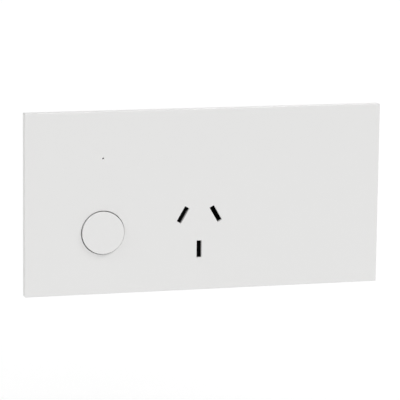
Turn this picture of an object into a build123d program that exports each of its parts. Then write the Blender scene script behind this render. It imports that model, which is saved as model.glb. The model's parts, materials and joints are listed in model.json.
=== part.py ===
from build123d import *
import os
from math import atan2, cos, degrees, pi, radians, sin

# Flush wall socket outlet: one earthed flat-pin socket, a round push switch and a pinhole lamp
# behind a thin rectangular cover. All sizes are millimetres.
#
# Frame: the origin lies on the wall plane, midway between the two fixing screws. +X is to the
# right as a person faces the outlet, +Z is up and +Y runs into the wall, so the cover's face
# looks towards -Y.

# Cover
cover_width = 148.0
cover_height = 74.0
cover_depth = 3.7
face_wall = 1.5
rim_wall = 1.8
edge_radius = 0.3
standoff = 6.2

# Socket: the pins stand on two circles about one centre
socket_x = -2.15
socket_z = -9.9
pin_circle = 7.92
earth_circle = 10.31
pin_slant = 30.0
slot_length = 7.0
slot_width = 2.1
pin_length = 17.1
earth_pin_length = 19.9

# Push button
button_x = -42.2
button_z = -11.9
button_radius = 8.6
button_gap = 0.34
button_proud = 1.0
button_side = 1.9
button_face = 1.2
button_travel = 2.8
skirt_radius = 7.2
skirt_wall = 1.2
skirt_depth = 2.3
cap_boss_radius = 3.0
spigot_radius = 1.9
spigot_length = 2.1
spigot_clearance = 0.05
spigot_end_room = 0.1
cap_edge = 0.2
button_collar_wall = 0.8
button_collar_depth = 1.1

# Pinhole lamp
lamp_x = button_x
lamp_z = 18.2
pinhole_radius = 0.36
pipe_radius = 1.4
pipe_flange_radius = 2.2
pipe_flange = 0.6
pipe_edge = 0.3
lamp_radius = 1.5
lamp_length = 2.2
lamp_flange_radius = 1.9
lamp_flange = 0.8
lamp_gap = 0.3

# Mounting grid
grid_gap = 0.5
grid_sheet = 1.8
grid_rib = 1.4
cross_rib = 1.2
hook_width = 7.0
hook_thickness = 1.3
hook_barb = 0.6
hook_inset = 5.8
hook_end_inset = 16.0
hook_catch_depth = 0.95
hook_end_depth = 0.35
hook_clearance = 0.2
catch_clearance = 0.05

# Fixing screws, held captive by washers
fixing_spacing = 84.0
fixing_thread_radius = 1.75
fixing_neck_radius = 1.45
fixing_length = 26.0
fixing_thread_start = 0.2
fixing_head_radius = 2.9
fixing_head = 2.0
fixing_head_bevel = 0.7
fixing_tip_length = 1.2
fixing_tip_taper = 0.9
fixing_recess_depth = 1.2
fixing_recess_width = 0.8
fixing_well_clearance = 0.4
recess_share = 0.6
fixing_sink = 0.6
fixing_hole_radius = 1.95
retainer_radius = 3.4
retainer_thickness = 0.4
retainer_recess = 0.5
retainer_clearance = 0.05

# Mechanism housing
housing_right = 24.4
housing_top = 25.0
housing_bottom = -27.5
housing_depth = 15.0
housing_wall = 1.6
housing_corner = 1.2
notch_right = -36.5
notch_half_height = 5.2
lid_thickness = 2.0
lid_lip = 1.0
lid_lip_depth = 1.6
lid_edge = 0.5
nose_half_width = 16.5
nose_drop = 16.6
nose_rise = 15.6
nose_wall = 1.2
nose_side_wall = 1.4
nose_corner = 1.5
seat_clearance = 0.2
barrier_offset = 1.5
barrier_lever_gap = 1.0

# Assembly screws, through lid and housing into the grid
post_radius = 2.6
post_bore_radius = 1.4
assembly_screw_radius = 1.25
assembly_head_radius = 2.2
assembly_head = 1.3
assembly_head_set = 0.1
assembly_head_bevel = 0.4
assembly_head_clearance = 0.2
assembly_tip_length = 1.2
assembly_tip_taper = 0.6
assembly_recess_depth = 0.8
assembly_recess_width = 0.6
grid_boss_radius = 2.8
grid_boss_bore = 1.3
assembly_screw_grip = 3.8
assembly_screw_end_room = 0.3
post_inset = 3.4
lamp_post_x = -34.2

# Safety shutter
shutter_thickness = 2.8
shutter_front_gap = 0.2
shutter_cover = 1.5
shutter_top = 8.6
shutter_foot = -0.6
shutter_travel = 5.0
shutter_ramp_depth = 2.6
shutter_ramp_width = 2.8
shutter_ramp_margin = 0.5
shutter_spring_reach = 7.5
shutter_spring_radius = 1.0
shutter_spring_wire = 0.2
shutter_spring_turns = 5
shutter_ledge = 1.2
shutter_leg_width = 2.2
shutter_leg_length = 3.0
shutter_end_room = 0.4
shutter_guide = 1.2
shutter_side_clearance = 0.15
shutter_stop_half_width = 4.0

# Contact carrier and contacts
carrier_clearance = 0.25
carrier_front_gap = 0.3
carrier_back = 11.0
pocket_half_width = 2.4
pocket_half_length = 3.4
pocket_front = 2.0
pocket_mouth_clearance = 0.3
contact_metal = 0.5
contact_width = 5.6
contact_mouth = 3.2
contact_throat = 1.2
contact_belly = 2.6
contact_start = 2.4
contact_flare_depth = 2.2
contact_belly_depth = 2.6
contact_bend = 0.5
strap_metal = 0.6
strap_width = 5.0
strip_end_margin = 1.4
earth_strap_foot = 1.0
earth_strap_slope = 3.0
earth_strap_setback = 1.2
earth_strap_bend = 0.8
pin_end_room = 0.8
carrier_pillar_radius = 1.5
carrier_pillar_inset = 4.2

# Terminals
terminal_width = 7.5
terminal_height = 9.0
terminal_depth = 8.6
terminal_front = 5.2
terminal_bottom = 12.5
terminal_edge = 0.4
tunnel_radius = 2.0
tunnel_inset = 3.4
wire_hole = 5.6
wire_hole_corner = 1.6
active_terminal_x = -27.0
loop_terminal_x = -15.0
earth_terminal_x = socket_x
neutral_terminal_x = 11.0
terminal_screw_radius = 1.75
terminal_screw_head_radius = 2.75
terminal_screw_head = 2.0
terminal_screw_slot = 0.8
terminal_screw_slot_depth = 1.0
terminal_screw_bevel = 0.4
terminal_screw_tip_bevel = 0.5
terminal_screw_tip_gap = 0.3
terminal_screw_driver_room = 0.35
terminal_screw_backed_off = 0.4
terminal_thread_clearance = 0.05
terminal_side_clearance = 0.15
partition_wall = 1.2
partition_depth = 13.0
lid_ring_wall = 1.0

# Plunger, latch and return spring
plunger_width = 9.0
plunger_back = 6.4
plunger_clearance = 0.15
plunger_edge = 0.6
guide_wall = 1.2
guide_depth = 6.0
spring_radius = 1.8
spring_wire = 0.3
spring_turns = 7
spring_pocket_radius = 2.3
spring_pocket_front = 1.0
spring_post_radius = 1.3
spring_post_length = 2.5
nose_rib_radius = 1.2
nose_rib_start = 0.2
latch_wire_radius = 0.4
latch_arm = 9.5
latch_pin_y = 4.0
latch_track = 1.1
latch_groove_depth = 1.0
latch_track_corner = 0.5
latch_window_room = 0.7
latch_drop = 1.1
latch_clearance = 0.15
latch_leg = 2.8
latch_lug_half_width = 1.3
latch_lug_height = 2.2
latch_lug_gap = 0.2
latch_socket_clearance = 0.05

# Contact lever
lever_metal = 0.6
lever_gap = 0.1
lever_arm = 11.2
lever_reach = 16.9
lever_end_clearance = 0.9
lever_low = 2.4
lever_high = 4.9
lever_eye_radius = 1.3
lever_pin_radius = 0.7
lever_pin_clearance = 0.05
lever_pin_head_radius = 1.1
lever_pin_head = 0.5
ear_gap = 0.3
ear_half_width = 1.7
bracket_y = 11.2
bracket_half_width = 2.0
bracket_foot = 3.0
tip_inset = 1.3
tip_radius = 1.1
tip_face_radius = 0.6
tip_thickness = 0.8
fixed_tip_thickness = 0.6
tip_clearance = 0.15
strip_pad = 2.6
strip_pad_offset = 4.0

# Lamp board
board_width = 7.0
board_height = 15.4
board_thickness = 1.2
board_post_radius = 0.8
board_post_inset = 1.2
lead_radius = 0.25
lead_pitch = 1.27
lead_length = 0.6
lead_clearance = 0.1
resistor_radius = 0.85
resistor_length = 3.6
resistor_span = 6.4
resistor_lift = 0.3
resistor_drop = 3.0
wire_radius = 0.6
wire_bend = 1.0
wire_stand = 2.2
wire_notch_gap = 2.0
wire_y = 4.5
neutral_wire_z = 9.6
active_wire_z = 7.6
active_wire_x = -24.0
wire_descent = 6.0

# Depths worked out from the sizes above
face_y = -standoff
cover_inner_y = face_y + face_wall
rim_y = face_y + cover_depth
grid_front_y = -grid_sheet
nose_inner_y = cover_inner_y + nose_wall
floor_y = housing_wall
lid_outer_y = housing_depth + lid_thickness
hook_spread = cover_width / 2 - hook_end_inset
fixing_seat_y = grid_front_y + fixing_sink
tunnel_y = terminal_front + tunnel_inset
terminal_back = terminal_front + terminal_depth
terminal_top = terminal_bottom + terminal_height
terminal_mid_z = terminal_bottom + terminal_height / 2
shutter_front_y = nose_inner_y + shutter_front_gap
shutter_back_y = shutter_front_y + shutter_thickness
shutter_spring_length = shutter_travel + shutter_leg_length + shutter_end_room
carrier_front_y = shutter_back_y + carrier_front_gap
contact_base_y = face_y + pin_length + pin_end_room
earth_base_y = face_y + earth_pin_length + pin_end_room

# The lever lies just behind the plunger and turns about an upright axis. Its free end sets how
# far the housing goes left, or the plunger's side where that reaches further.
lever_x = button_x + lever_arm
lever_y = plunger_back + nose_rib_radius + lever_gap + lever_metal / 2
lever_swing = button_travel / lever_arm
tip_reach = lever_reach - tip_inset
lever_z0 = button_z + lever_low
lever_z1 = button_z + lever_high
lever_end = lever_x - lever_reach - lever_end_clearance
plunger_side = button_x - plunger_width / 2 - plunger_clearance
housing_left = min(lever_end, plunger_side) - housing_wall

# Where each pin enters, and how far its slot leans from upright
half_pitch = pin_circle * sin(radians(60))
pin_rise = pin_circle * cos(radians(60))
pins = {
    "active": (socket_x - half_pitch, socket_z + pin_rise, -pin_slant),
    "neutral": (socket_x + half_pitch, socket_z + pin_rise, pin_slant),
    "earth": (socket_x, socket_z - earth_circle, 0.0),
}
terminals = {
    "active": active_terminal_x,
    "loop": loop_terminal_x,
    "earth": earth_terminal_x,
    "neutral": neutral_terminal_x,
}
posts = {
    "lower_left": (housing_left + post_inset, housing_bottom + post_inset),
    "lower_right": (housing_right - post_inset, housing_bottom + post_inset),
    "upper_right": (housing_right - post_inset, housing_top - post_inset),
    "upper_left": (lamp_post_x, housing_top - post_inset),
}
fixings = {"left": -fixing_spacing / 2, "right": fixing_spacing / 2}


# Shared ways of making a solid
def slab(outline, front, back):
    """An outline drawn in X and Z, solid from depth front to depth back."""
    plane = Plane(origin=(0, back, 0), x_dir=(1, 0, 0), z_dir=(0, -1, 0))
    return extrude(plane * outline, amount=back - front)


def panel(x0, x1, z0, z1):
    """A rectangle in X and Z."""
    return Pos((x0 + x1) / 2, (z0 + z1) / 2) * Rectangle(x1 - x0, z1 - z0)


def block(x0, x1, y0, y1, z0, z1):
    return slab(panel(x0, x1, z0, z1), y0, y1)


def disc(x, z, radius):
    return Pos(x, z) * Circle(radius)


def rod(x, z, radius, front, back):
    """A round bar along Y."""
    return slab(disc(x, z, radius), front, back)


def upright(x, y, radius, z0, z1):
    """A round bar along Z."""
    low = (Align.CENTER, Align.CENTER, Align.MIN)
    return Pos(x, y, z0) * Cylinder(radius, z1 - z0, align=low)


def turned(x, z, *profile):
    """A solid of revolution about the Y line through x and z, from (radius, depth) points."""
    return Pos(x, 0, z) * revolve(make_face(Polyline(*profile, close=True)), Axis.Y)


def bent_wire(points, radius, bend):
    """A round wire through points, with every corner rounded."""
    route = FilletPolyline(*points, radius=bend)
    start = Plane(origin=route @ 0, z_dir=route % 0)
    return sweep(start * Circle(radius), path=route)


def coil(start, direction, length, radius, wire, turns):
    """A compression spring from start along direction, its wire drawn with six flats."""
    way = Vector(direction)
    rise = length - 2 * wire
    spine = Helix(rise / turns, rise, radius, center=Vector(start) + way * wire, direction=way)
    section = Plane(origin=spine @ 0, z_dir=spine % 0) * RegularPolygon(wire, 6)
    return sweep(section, path=spine, is_frenet=True)


def pin_slots(grow=0.0):
    """The three slots' outlines, each side moved out by grow."""
    outline = Sketch()
    for x, z, lean in pins.values():
        outline += Pos(x, z) * Rot(0, 0, lean) * Rectangle(slot_width + 2 * grow, slot_length + 2 * grow)
    return outline


def save(name, shape):
    export_step(shape, f"parts/{name}.step")


# Cover: a one-piece moulding with a flat face, a short rim and snap hooks behind
def hooks():
    """One snap hook as (x, side): three along the top edge and three along the bottom."""
    return [(x, side) for side in (-1, 1) for x in (-hook_spread, 0, hook_spread)]


def hook_z(side, offset=0.0):
    """The middle of a hook's tongue, moved outwards by offset."""
    return side * (cover_height / 2 - hook_inset + offset)


def make_cover():
    body = block(-cover_width / 2, cover_width / 2, face_y, rim_y, -cover_height / 2, cover_height / 2)
    front = body.faces().sort_by(Axis.Y)[0]
    body = fillet(front.edges() + body.edges().filter_by(Axis.Y), edge_radius)
    half_width = cover_width / 2 - rim_wall
    half_height = cover_height / 2 - rim_wall
    body -= block(-half_width, half_width, cover_inner_y, rim_y, -half_height, half_height)
    hole_radius = button_radius + button_gap
    collar_end = cover_inner_y + button_collar_depth
    body += rod(button_x, button_z, hole_radius + button_collar_wall, cover_inner_y, collar_end)
    body -= rod(button_x, button_z, hole_radius, face_y, collar_end)
    body -= rod(lamp_x, lamp_z, pinhole_radius, face_y, cover_inner_y)
    body -= slab(pin_slots(), face_y, cover_inner_y)
    half = hook_thickness / 2
    for x, side in hooks():
        inner, outer = sorted((hook_z(side, -half), hook_z(side, half)))
        body += block(x - hook_width / 2, x + hook_width / 2, cover_inner_y, -hook_end_depth, inner, outer)
        root = hook_z(side, half)
        tip = hook_z(side, half + hook_barb)
        barb = Polyline(
            (x - hook_width / 2, -hook_catch_depth, root),
            (x - hook_width / 2, -hook_catch_depth, tip),
            (x - hook_width / 2, -hook_end_depth, root),
            close=True,
        )
        body += extrude(make_face(barb), amount=hook_width, dir=(1, 0, 0))
    return body


# Grid: the moulded plate that is screwed to the wall and carries everything else
def make_grid():
    half_width = cover_width / 2 - rim_wall - grid_gap
    half_height = cover_height / 2 - rim_wall - grid_gap
    outline = panel(-half_width, half_width, -half_height, half_height)
    inside = offset(outline, -grid_rib)
    body = slab(outline, grid_front_y, 0) + slab(outline - inside, cover_inner_y, grid_front_y)

    ribs = Sketch()
    half = cross_rib / 2
    boss_gap = fixings["right"] - 2 * retainer_radius
    beside_hook = hook_width / 2 + cross_rib
    for x in (-hook_spread - beside_hook, hook_spread - beside_hook, hook_spread + beside_hook, boss_gap):
        ribs += panel(x - half, x + half, -half_height, half_height)
    for side in (-1, 1):
        z = hook_z(side, -hook_thickness / 2 - hook_barb - cross_rib)
        ribs += panel(-half_width, half_width, z - half, z + half)
    body += slab(ribs, cover_inner_y, grid_front_y)

    well_radius = fixing_head_radius + fixing_well_clearance
    for x in fixings.values():
        body += rod(x, 0, well_radius + cross_rib, grid_front_y - fixing_head + fixing_sink, grid_front_y)
    for x, z in posts.values():
        body += rod(x, z, grid_boss_radius, cover_inner_y, grid_front_y)
        body -= rod(x, z, grid_boss_bore, -assembly_screw_grip - assembly_screw_end_room, 0)
    for x in fixings.values():
        body -= rod(x, 0, well_radius, cover_inner_y, fixing_seat_y)
        body -= rod(x, 0, fixing_hole_radius, fixing_seat_y, 0)
        body -= rod(x, 0, retainer_radius + seat_clearance, -retainer_recess, 0)

    nose = offset(nose_outline(), seat_clearance)
    body -= slab(nose, cover_inner_y, 0)
    button_room = button_radius + button_gap + button_collar_wall + seat_clearance
    body -= rod(button_x, button_z, button_room, cover_inner_y, grid_front_y)
    body -= rod(button_x, button_z, skirt_radius + button_gap, grid_front_y, 0)
    body -= rod(lamp_x, lamp_z, pipe_radius + seat_clearance, grid_front_y, 0)

    for x, side in hooks():
        x0, x1 = x - hook_width / 2 - hook_clearance, x + hook_width / 2 + hook_clearance
        half_slot = hook_thickness / 2 + hook_clearance
        z0, z1 = sorted((hook_z(side, -half_slot), hook_z(side, half_slot)))
        body -= block(x0, x1, grid_front_y, 0, z0, z1)
        ledge_y = -hook_catch_depth - catch_clearance
        z0, z1 = sorted((hook_z(side, half_slot), hook_z(side, half_slot + hook_barb)))
        body -= block(x0, x1, ledge_y, 0, z0, z1)
    return body


# Housing: a tray open to the back, with a nose that comes forward through the grid
def housing_outline():
    """A block with a notch at the left that clears the fixing screw and the wall box's lug."""
    outline = panel(housing_left, housing_right, housing_bottom, housing_top)
    outline -= panel(housing_left, notch_right, -notch_half_height, notch_half_height)
    return fillet(outline.vertices(), housing_corner)


def nose_outline():
    outline = panel(
        socket_x - nose_half_width,
        socket_x + nose_half_width,
        socket_z - nose_drop,
        socket_z + nose_rise,
    )
    return fillet(outline.vertices(), nose_corner)


def plunger_room(grow=0.0):
    """The plunger's square section, each side moved out by grow."""
    half = plunger_width / 2 + grow
    return panel(button_x - half, button_x + half, button_z - half, button_z + half)


def board_corners():
    """The centres of the four posts under the lamp board."""
    x_off = board_width / 2 - board_post_inset
    z_mid = board_middle()
    z_off = board_height / 2 - board_post_inset
    return [(lamp_x + i * x_off, z_mid + j * z_off) for i in (-1, 1) for j in (-1, 1)]


def board_middle():
    """The board's middle height: its lower edge clears the wall of the notch."""
    return notch_half_height + housing_wall + seat_clearance + board_height / 2


def board_front():
    return floor_y + pipe_flange + lamp_gap + lamp_length + lamp_flange


def make_housing():
    outline = housing_outline()
    body = slab(outline, 0, housing_depth)
    inside = offset(outline, -housing_wall)
    body -= slab(inside, floor_y, housing_depth)

    nose = nose_outline()
    body += slab(nose, cover_inner_y, 0)
    cavity = offset(nose, -nose_side_wall)
    body -= slab(cavity, nose_inner_y, floor_y)
    body -= slab(pin_slots(), cover_inner_y, nose_inner_y)

    # Seats for the shutter's two springs, guides beside its legs and the stop above it
    ledge_z = socket_z + shutter_foot - shutter_spring_length
    half = shutter_spring_radius + shutter_spring_wire
    guide_x = shutter_edge(shutter_foot) + shutter_side_clearance
    for side in (-1, 1):
        x = socket_x + side * shutter_spring_reach
        body += block(x - half, x + half, nose_inner_y, carrier_front_y, ledge_z - shutter_ledge, ledge_z)
        x0, x1 = sorted((socket_x + side * guide_x, socket_x + side * (guide_x + shutter_guide)))
        body += block(x0, x1, nose_inner_y, carrier_front_y, ledge_z - shutter_ledge, socket_z + shutter_foot)
    stop_x0, stop_x1 = socket_x - shutter_stop_half_width, socket_x + shutter_stop_half_width
    stop_z = socket_z + shutter_top + catch_clearance
    body += block(stop_x0, stop_x1, nose_inner_y, carrier_front_y, stop_z, stop_z + shutter_guide)

    # Terminal seats, the walls between them and the wire holes in the top
    room = terminal_width / 2 + terminal_side_clearance
    for x in terminals.values():
        body += block(x - room, x + room, floor_y, terminal_front, terminal_bottom, terminal_top)
        for side in (-1, 1):
            wall_x = x + side * (room + partition_wall / 2)
            half = partition_wall / 2
            body += block(
                wall_x - half,
                wall_x + half,
                floor_y,
                partition_depth,
                terminal_bottom,
                housing_top - housing_wall,
            )
        opening = Pos(x, tunnel_y, terminal_top) * RectangleRounded(wire_hole, wire_hole, wire_hole_corner)
        body -= extrude(opening, amount=housing_top - terminal_top)

    # Screw posts
    for x, z in posts.values():
        body += rod(x, z, post_radius, 0, housing_depth) & slab(outline, 0, housing_depth)
    for x, z in posts.values():
        body -= rod(x, z, post_bore_radius, 0, housing_depth)

    # Square guide for the plunger, open below where the latch reaches its track
    guide = plunger_room(plunger_clearance + guide_wall)
    body += slab(guide, 0, guide_depth) & slab(outline, 0, housing_depth)
    body -= slab(plunger_room(plunger_clearance), 0, guide_depth)
    window = latch_track + latch_wire_radius + latch_window_room
    guide_bottom = button_z - plunger_width / 2 - plunger_clearance
    body -= block(
        button_x - window,
        button_x + window,
        latch_pin_y - latch_wire_radius - latch_window_room,
        guide_depth,
        guide_bottom - guide_wall,
        guide_bottom,
    )

    # Lamp: hole for the light pipe and posts for the board
    body -= rod(lamp_x, lamp_z, pipe_radius + seat_clearance, 0, floor_y)
    for x, z in board_corners():
        body += rod(x, z, board_post_radius, floor_y, board_front())

    # Barrier between the switch and the socket
    barrier_x = (lever_x + socket_x - nose_half_width) / 2 + barrier_offset
    body += block(
        barrier_x - partition_wall / 2,
        barrier_x + partition_wall / 2,
        floor_y,
        partition_depth,
        housing_bottom + housing_wall,
        lever_z0 - barrier_lever_gap,
    )
    return body


# Lid: closes the housing from behind, and locates the spring, the latch and the terminals
def make_lid():
    outline = housing_outline()
    body = slab(outline, housing_depth, lid_outer_y)
    back = body.faces().sort_by(Axis.Y)[-1]
    body = chamfer(back.edges(), lid_edge)
    lip_outer = offset(outline, -housing_wall - terminal_side_clearance)
    lip_inner = offset(outline, -housing_wall - terminal_side_clearance - lid_lip)
    lip = slab(lip_outer - lip_inner, housing_depth - lid_lip_depth, housing_depth)
    for x, z in posts.values():
        lip -= rod(x, z, post_radius + seat_clearance, 0, housing_depth)
    tip_room = tip_radius + terminal_side_clearance
    tip_z = (lever_z0 + lever_z1) / 2
    lip -= block(housing_left, active_terminal_x, 0, housing_depth, tip_z - tip_room, tip_z + tip_room)
    lip -= block(housing_left, active_terminal_x, 0, housing_depth, tip_z, -notch_half_height)
    body += lip

    # A ring that stands on each terminal, round the opening for its screw
    hole_radius = terminal_screw_head_radius + terminal_screw_driver_room
    for x in terminals.values():
        body += rod(x, terminal_mid_z, hole_radius + lid_ring_wall, terminal_back, housing_depth)
        body -= rod(x, terminal_mid_z, hole_radius, terminal_back, lid_outer_y)

    # Spring post, latch lug and the pillars that press on the contact carrier
    post_y = housing_depth - spring_post_length
    body += rod(button_x, button_z, spring_post_radius, post_y, housing_depth)
    lug_x, lug_y = latch_pivot()
    lug_top = latch_wire_z() - latch_wire_radius - latch_lug_gap
    body += block(
        lug_x - latch_lug_half_width,
        lug_x + latch_lug_half_width,
        lug_y - latch_lug_half_width,
        housing_depth,
        lug_top - latch_lug_height,
        lug_top,
    )
    socket_radius = latch_wire_radius + latch_socket_clearance
    body -= upright(lug_x, lug_y, socket_radius, lug_top - latch_lug_height, lug_top)
    for side in (-1, 1):
        x = socket_x + side * (nose_half_width - carrier_pillar_inset)
        body += rod(x, socket_z - earth_circle, carrier_pillar_radius, carrier_back, housing_depth)

    # Pillars that hold the lamp board against its posts, on the side away from the wires
    for x, z in board_corners()[:2]:
        body += rod(x, z, board_post_radius, board_front() + board_thickness, housing_depth)

    # Pads under the switched strip
    for x0 in (fixed_tip_x() - strip_pad / 2, lever_x + strip_pad_offset):
        body += block(x0, x0 + strip_pad, link_y() + strap_metal, housing_depth, lever_z0, lever_z1)

    for x, z in posts.values():
        body -= rod(x, z, post_bore_radius, housing_depth, lid_outer_y)
        sink_radius = assembly_head_radius + assembly_head_clearance
        body -= rod(x, z, sink_radius, lid_outer_y - assembly_head, lid_outer_y)
    return body


def latch_pivot():
    return button_x - latch_track, latch_pin_y + latch_arm


def latch_wire_z():
    """The height of the latch's arm, which runs just under the plunger."""
    return button_z - plunger_width / 2 - latch_drop


# Contact carrier: the insulating block behind the shutter that holds the three contacts
def make_carrier():
    inside = offset(nose_outline(), -nose_side_wall - carrier_clearance)
    body = slab(inside, carrier_front_y, carrier_back)
    body -= slab(pin_slots(pocket_mouth_clearance), carrier_front_y, pocket_front)
    for x, z, lean in pins.values():
        pocket = Pos(x, z) * Rot(0, 0, lean) * Rectangle(2 * pocket_half_width, 2 * pocket_half_length)
        body -= slab(pocket, pocket_front, carrier_back)
    return body


# Shutter: a tapered plate with ramps, which the live pins push down to open
def shutter_edge(z):
    """Half the shutter's width at height z above the socket's centre."""
    slant = radians(pin_slant)
    x = half_pitch + shutter_cover * cos(slant)
    rise = z - pin_rise - shutter_cover * sin(slant)
    return x - rise * sin(slant) / cos(slant)


def make_shutter():
    top = shutter_edge(shutter_top)
    foot = shutter_edge(shutter_foot)
    outline = make_face(
        Polyline(
            (-foot, shutter_foot), (foot, shutter_foot), (top, shutter_top), (-top, shutter_top), close=True
        )
    )
    leg_end = shutter_foot - shutter_leg_length
    for side in (-1, 1):
        inner, outer = sorted((side * (foot - shutter_leg_width), side * foot))
        outline += panel(inner, outer, leg_end, shutter_foot)
    body = slab(Pos(socket_x, socket_z) * outline, shutter_front_y, shutter_back_y)
    for side in (-1, 1):
        # The ramp is cut along the slanted edge, from the face down to the plate's back
        x, z = side * shutter_edge(pin_rise), pin_rise
        ramp = make_face(
            Polyline(
                (shutter_ramp_margin, shutter_front_y - shutter_ramp_margin),
                (shutter_ramp_margin, shutter_front_y + shutter_ramp_depth),
                (0, shutter_front_y + shutter_ramp_depth),
                (-shutter_ramp_width, shutter_front_y),
                (-shutter_ramp_width, shutter_front_y - shutter_ramp_margin),
                close=True,
            )
        )
        reach = (shutter_top - shutter_foot) / cos(radians(pin_slant))
        wedge = extrude(ramp, amount=reach, both=True)
        if side < 0:
            wedge = wedge.mirror(Plane.YZ)
        body -= Pos(socket_x + x, 0, socket_z + z) * Rot(0, -side * pin_slant, 0) * wedge
    return body


# Contacts: sprung brass clips that grip the pins, each with a strap to its terminal
def pin_clip(base_y):
    """A folded clip about the Z line at the origin, from its flared mouth to its base."""
    half_mouth, half_throat, half_belly = contact_mouth / 2, contact_throat / 2, contact_belly / 2
    mouth_y = contact_start
    throat_y = mouth_y + contact_flare_depth
    belly_y = throat_y + contact_belly_depth
    middle = base_y - contact_metal / 2
    side = contact_metal / 2
    path = FilletPolyline(
        (-half_mouth - side, mouth_y),
        (-half_throat - side, throat_y),
        (-half_belly - side, belly_y),
        (-half_belly - side, middle),
        (half_belly + side, middle),
        (half_belly + side, belly_y),
        (half_throat + side, throat_y),
        (half_mouth + side, mouth_y),
        radius=contact_bend,
    )
    return extrude(trace(path, contact_metal), amount=contact_width / 2, both=True)


def clip_at(name, base_y):
    x, z, lean = pins[name]
    return Pos(x, 0, z) * Rot(0, -lean, 0) * pin_clip(base_y)


def link_y():
    """The front of the switched strip: behind the moving tip where the lever is pressed home."""
    tip_corner = (tip_reach + tip_radius) * sin(lever_swing)
    tip_depth = (lever_metal / 2 + tip_thickness) * cos(lever_swing)
    return lever_y + tip_corner + tip_depth + tip_clearance + fixed_tip_thickness


def fixed_tip_x():
    return lever_x - tip_reach * cos(lever_swing)


def strap_bar(x0, x1, front, z0, z1):
    """A flat strap of sheet metal that faces the wall."""
    return block(x0, x1, front, front + strap_metal, z0, z1)


def make_active_contact():
    x, z, _ = pins["active"]
    clip_base = contact_base_y - contact_metal
    front = link_y()
    strip_end = x + strap_width / 2
    body = clip_at("active", contact_base_y)
    body += strap_bar(x - strap_width / 2, strip_end, clip_base, lever_z0, z)
    riser_x = x - strap_width / 2
    strip_start = fixed_tip_x() - strip_end_margin
    body += strap_bar(strip_start, riser_x + strap_metal, front, lever_z0, lever_z1)
    body += block(riser_x, riser_x + strap_metal, clip_base, front + strap_metal, lever_z0, lever_z1)
    return body


def make_neutral_contact():
    x, z, _ = pins["neutral"]
    clip_base = contact_base_y - contact_metal
    right = neutral_terminal_x + strap_width / 2
    body = clip_at("neutral", contact_base_y)
    body += strap_bar(x - 2, right, clip_base, z - strap_width / 2, z + strap_width / 2)
    body += strap_bar(right - strap_width, right, clip_base, z - strap_width / 2, terminal_bottom)
    return body


def make_earth_contact():
    x, z, _ = pins["earth"]
    base = earth_base_y - strap_metal / 2
    upper = terminal_back - earth_strap_setback
    foot_z = z + contact_width / 2 + earth_strap_foot
    path = FilletPolyline(
        (base, z - contact_width / 2),
        (base, foot_z),
        (upper, foot_z + earth_strap_slope),
        (upper, terminal_bottom),
        radius=earth_strap_bend,
    )
    plane = Plane(origin=(x - strap_width / 2, 0, 0), x_dir=(0, 1, 0), z_dir=(1, 0, 0))
    strap = extrude(plane * trace(path, strap_metal), amount=strap_width)
    return clip_at("earth", earth_base_y) + strap


# Terminals: brass blocks with a wire tunnel from above and a clamping screw from behind
def make_terminal(x):
    half = terminal_width / 2
    body = block(x - half, x + half, terminal_front, terminal_back, terminal_bottom, terminal_top)
    body = chamfer(body.edges().filter_by(Axis.Z), terminal_edge)
    body -= upright(x, tunnel_y, tunnel_radius, terminal_bottom, terminal_top)
    screw_hole = terminal_screw_radius + terminal_thread_clearance
    return body - rod(x, terminal_mid_z, screw_hole, tunnel_y, terminal_back)


def make_terminal_screw(x):
    tip = tunnel_y + tunnel_radius + terminal_screw_tip_gap
    seat = terminal_back + terminal_screw_backed_off
    head = seat + terminal_screw_head
    body = turned(
        x,
        terminal_mid_z,
        (0, tip),
        (terminal_screw_radius - terminal_screw_tip_bevel, tip),
        (terminal_screw_radius, tip + terminal_screw_tip_bevel),
        (terminal_screw_radius, seat),
        (terminal_screw_head_radius, seat),
        (terminal_screw_head_radius, head - terminal_screw_bevel),
        (terminal_screw_head_radius - terminal_screw_bevel, head),
        (0, head),
    )
    bottom = head - terminal_screw_slot_depth
    reach = terminal_screw_head_radius
    half = terminal_screw_slot / 2
    for across, up in ((reach, half), (half, reach * recess_share)):
        body -= block(x - across, x + across, bottom, head, terminal_mid_z - up, terminal_mid_z + up)
    return body


# Push button: a round cap on a square plunger
def make_cap():
    front = face_y - button_proud
    inside = front + button_face
    back = front + button_side
    end = back + skirt_depth
    bore = spigot_radius + spigot_clearance
    profile = (
        (0, front),
        (button_radius, front),
        (button_radius, back),
        (skirt_radius, back),
        (skirt_radius, end),
        (skirt_radius - skirt_wall, end),
        (skirt_radius - skirt_wall, inside),
        (cap_boss_radius, inside),
        (cap_boss_radius, end),
        (bore, end),
        (bore, end - spigot_length - spigot_end_room),
        (0, end - spigot_length - spigot_end_room),
    )
    body = turned(button_x, button_z, *profile)
    rim = body.edges().filter_by(GeomType.CIRCLE).sort_by(Axis.Y)[0]
    return fillet(rim, cap_edge)


def plunger_front():
    return face_y - button_proud + button_side + skirt_depth


def island():
    """The heart that the latch runs round, in the plunger's own X and Y, with its notch forward."""
    middle = latch_pin_y - button_travel / 2
    low = latch_pin_y - button_travel + 2 * latch_wire_radius - latch_clearance
    high = latch_pin_y - latch_wire_radius - latch_clearance
    half = latch_track - latch_wire_radius - latch_clearance
    points = (
        (-half, middle - 0.2),
        (-half * 0.65, low),
        (0, low + 0.35),
        (half * 0.65, low),
        (half, middle - 0.2),
        (half * 0.3, high),
        (-half * 0.3, high),
    )
    return make_face(Polyline(*points, close=True))


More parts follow.
